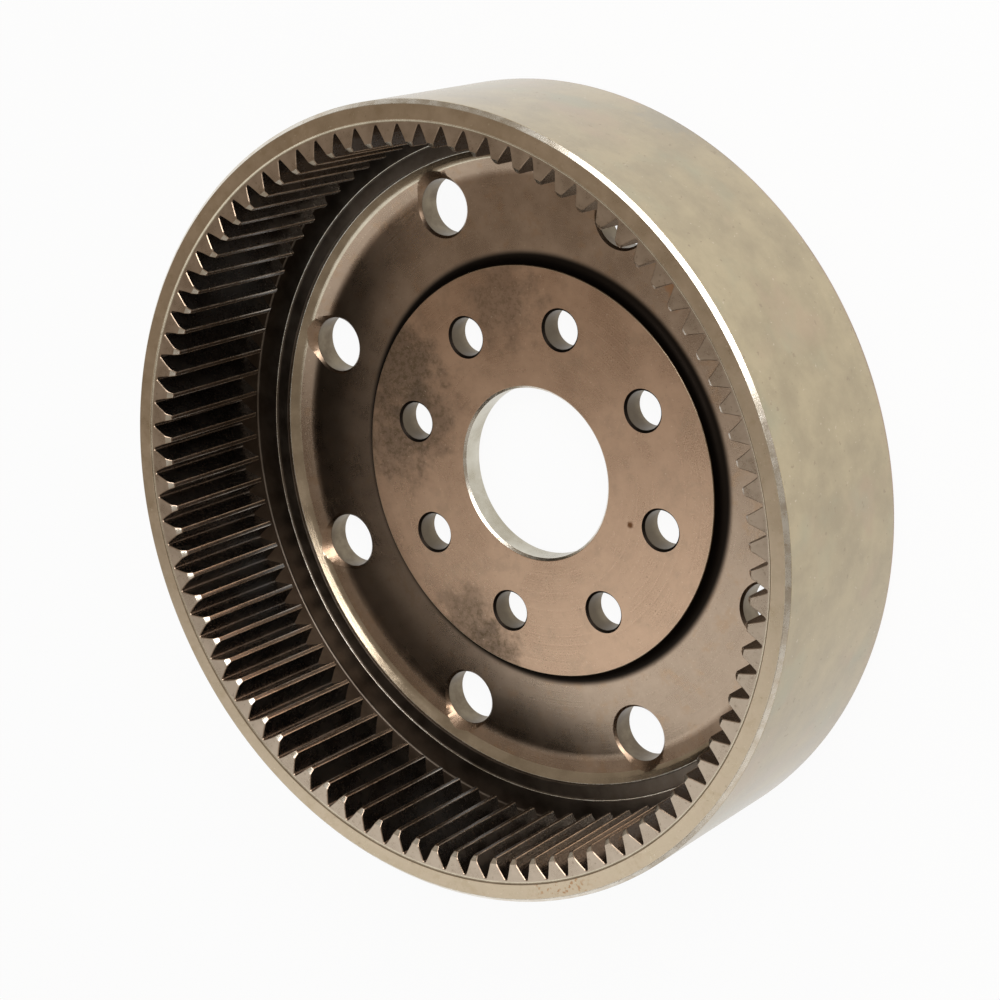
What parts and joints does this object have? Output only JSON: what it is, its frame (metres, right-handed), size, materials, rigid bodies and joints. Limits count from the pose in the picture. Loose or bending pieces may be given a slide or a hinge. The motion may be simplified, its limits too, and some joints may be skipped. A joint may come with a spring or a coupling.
{
  "type": "internal ring gear",
  "caption": "Drum-shaped internal ring gear with spur teeth inside the rim, a dished web with a circle of bolt holes, and a raised hub with a central bore and a second circle of bolt holes.",
  "frame": {"origin": "centre of the back face, on the gear's axis", "axes": "+Z along the gear's axis, out of the open toothed end; +X through the middle of a tooth and of a web hole"},
  "size_m": [0.298, 0.298, 0.078],
  "materials": {
    "gear_steel": "turned and shaped alloy steel, browned by heat treatment, with a light film of oil"
  },
  "bodies": {
    "root": {"ring_gear": "gear_steel"}
  },
  "joints": []
}
